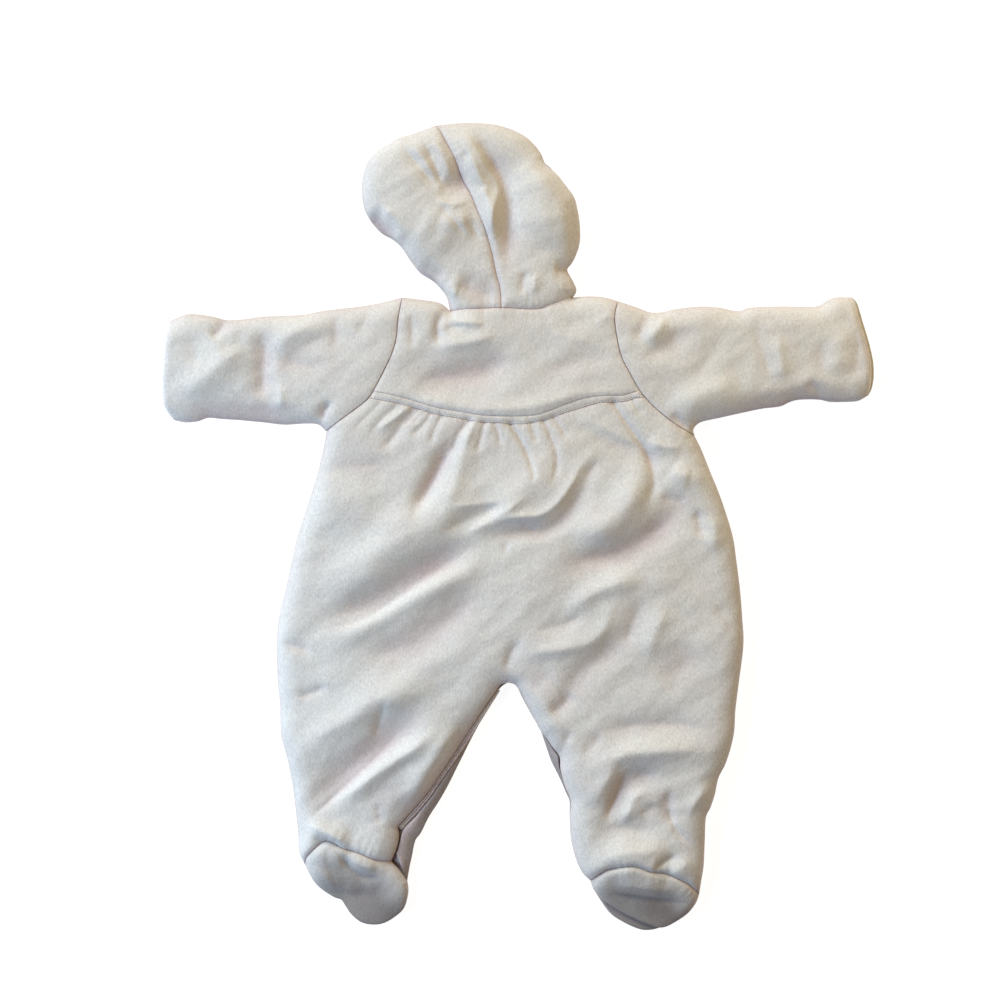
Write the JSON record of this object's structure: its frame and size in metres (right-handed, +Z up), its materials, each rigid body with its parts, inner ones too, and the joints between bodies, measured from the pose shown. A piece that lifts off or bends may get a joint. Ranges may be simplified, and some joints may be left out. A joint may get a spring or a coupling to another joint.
{
  "type": "baby snowsuit",
  "caption": "Padded one-piece baby suit with hood, long sleeves and closed feet, laid out flat with its back up.",
  "frame": {"origin": "on the resting plane, under the middle of the suit's outline", "axes": "+Y from feet to hood, +Z up from the surface the suit lies on, +X to the wearer's right"},
  "size_m": [0.6249, 0.7114, 0.032],
  "materials": {
    "back_yoke": "brushed cotton jersey",
    "yoke_band": "brushed cotton jersey",
    "back_body": "brushed cotton jersey",
    "sole_left": "brushed cotton jersey",
    "sole_right": "brushed cotton jersey",
    "leg_band": "brushed cotton jersey",
    "front_left": "brushed cotton jersey",
    "front_right": "brushed cotton jersey",
    "front_band": "brushed cotton jersey",
    "sleeve_left": "brushed cotton jersey",
    "sleeve_right": "brushed cotton jersey",
    "hood_left": "brushed cotton jersey",
    "hood_right": "brushed cotton jersey"
  },
  "bodies": {
    "root": {"back_yoke": "back_yoke", "yoke_band": "yoke_band", "back_body": "back_body", "sole_left": "sole_left", "sole_right": "sole_right", "leg_band": "leg_band", "front_left": "front_left", "front_right": "front_right", "front_band": "front_band", "sleeve_left": "sleeve_left", "sleeve_right": "sleeve_right", "hood_left": "hood_left", "hood_right": "hood_right"}
  },
  "joints": []
}
